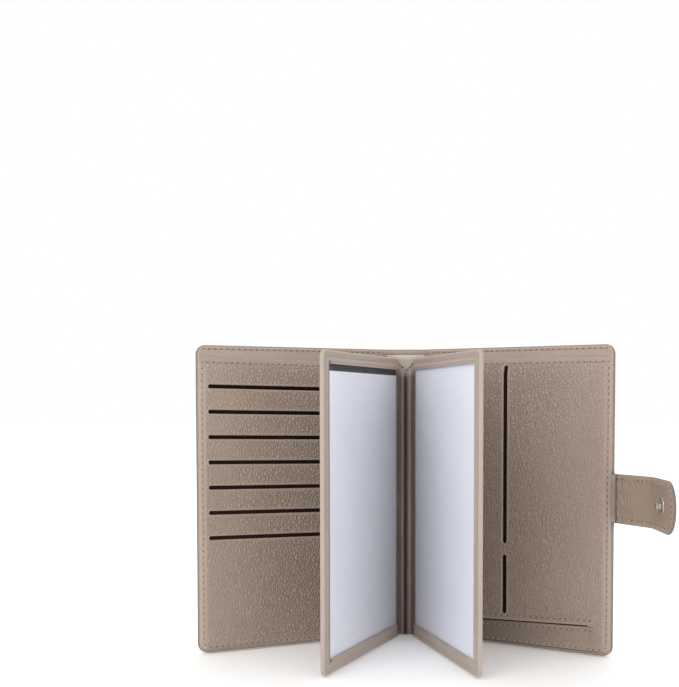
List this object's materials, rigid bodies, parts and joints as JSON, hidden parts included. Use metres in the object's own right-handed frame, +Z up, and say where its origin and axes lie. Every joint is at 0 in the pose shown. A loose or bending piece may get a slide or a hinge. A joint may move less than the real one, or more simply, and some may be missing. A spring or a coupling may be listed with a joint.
{
  "type": "travel document wallet",
  "caption": "Bifold leather travel document wallet with card slots, document pockets, clear window leaves and a snap strap, standing open.",
  "frame": {"origin": "middle of the spine's foot, half way through the outer leather, on the surface the wallet stands on", "axes": "+Z up along the spine, +X to the document side (right of the open wallet), -Y the way the open inside faces"},
  "size_m": [0.2106, 0.1059, 0.145],
  "materials": {
    "grain_leather": "pebbled taupe leather, satin",
    "smooth_leather": "fine-grain taupe leather, satin",
    "dark_cloth": "dark brown pocket cloth",
    "cream_cloth": "cream lining cloth",
    "board": "grey fibre board",
    "window_film": "clear soft film",
    "white_card": "plain white card",
    "nickel": "polished nickel"
  },
  "bodies": {
    "spine": {"outer_cover_spine": "grain_leather", "spine_board": "board", "spine_lining": "cream_cloth", "insert_binding": "smooth_leather"},
    "front_cover": {"outer_cover_front": "grain_leather", "front_board": "board", "snap_socket_washer": "nickel", "snap_socket": "nickel", "front_facing": "smooth_leather", "card_pocket_1": "dark_cloth", "card_pocket_2": "dark_cloth", "card_pocket_3": "dark_cloth", "card_pocket_4": "dark_cloth", "card_pocket_5": "dark_cloth", "card_pocket_6": "dark_cloth", "card_pocket_7": "dark_cloth", "card_panel": "grain_leather"},
    "back_cover": {"outer_cover_back": "grain_leather", "back_board": "board", "strap_anchor": "smooth_leather", "back_facing": "smooth_leather", "long_pocket_lining": "dark_cloth", "slip_pocket_lining": "dark_cloth", "document_panel": "grain_leather"},
    "left_leaf": {"left_leaf_back": "smooth_leather", "left_insert_card": "white_card", "left_window_film": "window_film", "left_leaf_frame": "smooth_leather"},
    "right_leaf": {"right_leaf_back": "smooth_leather", "right_insert_card": "white_card", "right_window_film": "window_film", "right_leaf_frame": "smooth_leather"},
    "strap_wrap": {"strap_wrap": "smooth_leather"},
    "strap_tab": {"strap_tab": "smooth_leather", "snap_stud": "nickel"}
  },
  "joints": [
    {"name": "front_cover_fold", "type": "hinge", "parent": "spine", "child": "front_cover", "pos_m": [-0.0104, 0, 0], "axis": [0, 0, 1], "range_deg": [-28, 62]},
    {"name": "back_cover_fold", "type": "hinge", "parent": "spine", "child": "back_cover", "pos_m": [0.0104, 0, 0], "axis": [0, 0, -1], "range_deg": [-28, 62]},
    {"name": "left_leaf_turn", "type": "hinge", "parent": "spine", "child": "left_leaf", "pos_m": [-0.0043, -0.0045, 0], "axis": [0, 0, 1], "range_deg": [-8.4, 18.5]},
    {"name": "right_leaf_turn", "type": "hinge", "parent": "spine", "child": "right_leaf", "pos_m": [0.0043, -0.0045, 0], "axis": [0, 0, -1], "range_deg": [-8.4, 18.5]},
    {"name": "strap_fold", "type": "hinge", "parent": "back_cover", "child": "strap_wrap", "pos_m": [0.09782, -0.04773, 0.0739], "axis": [0, 0, -1], "range_deg": [-24, 58]},
    {"name": "strap_tab_fold", "type": "hinge", "parent": "strap_wrap", "child": "strap_tab", "pos_m": [0.11033, -0.06938, 0.0739], "axis": [0, 0, -1], "range_deg": [-27, 63]}
  ],
  "couplings": [
    {"joint": "left_leaf_turn", "follows": "front_cover_fold", "ratio": 0.2983},
    {"joint": "right_leaf_turn", "follows": "back_cover_fold", "ratio": 0.2983},
    {"joint": "strap_tab_fold", "follows": "strap_fold", "ratio": 1.086}
  ]
}
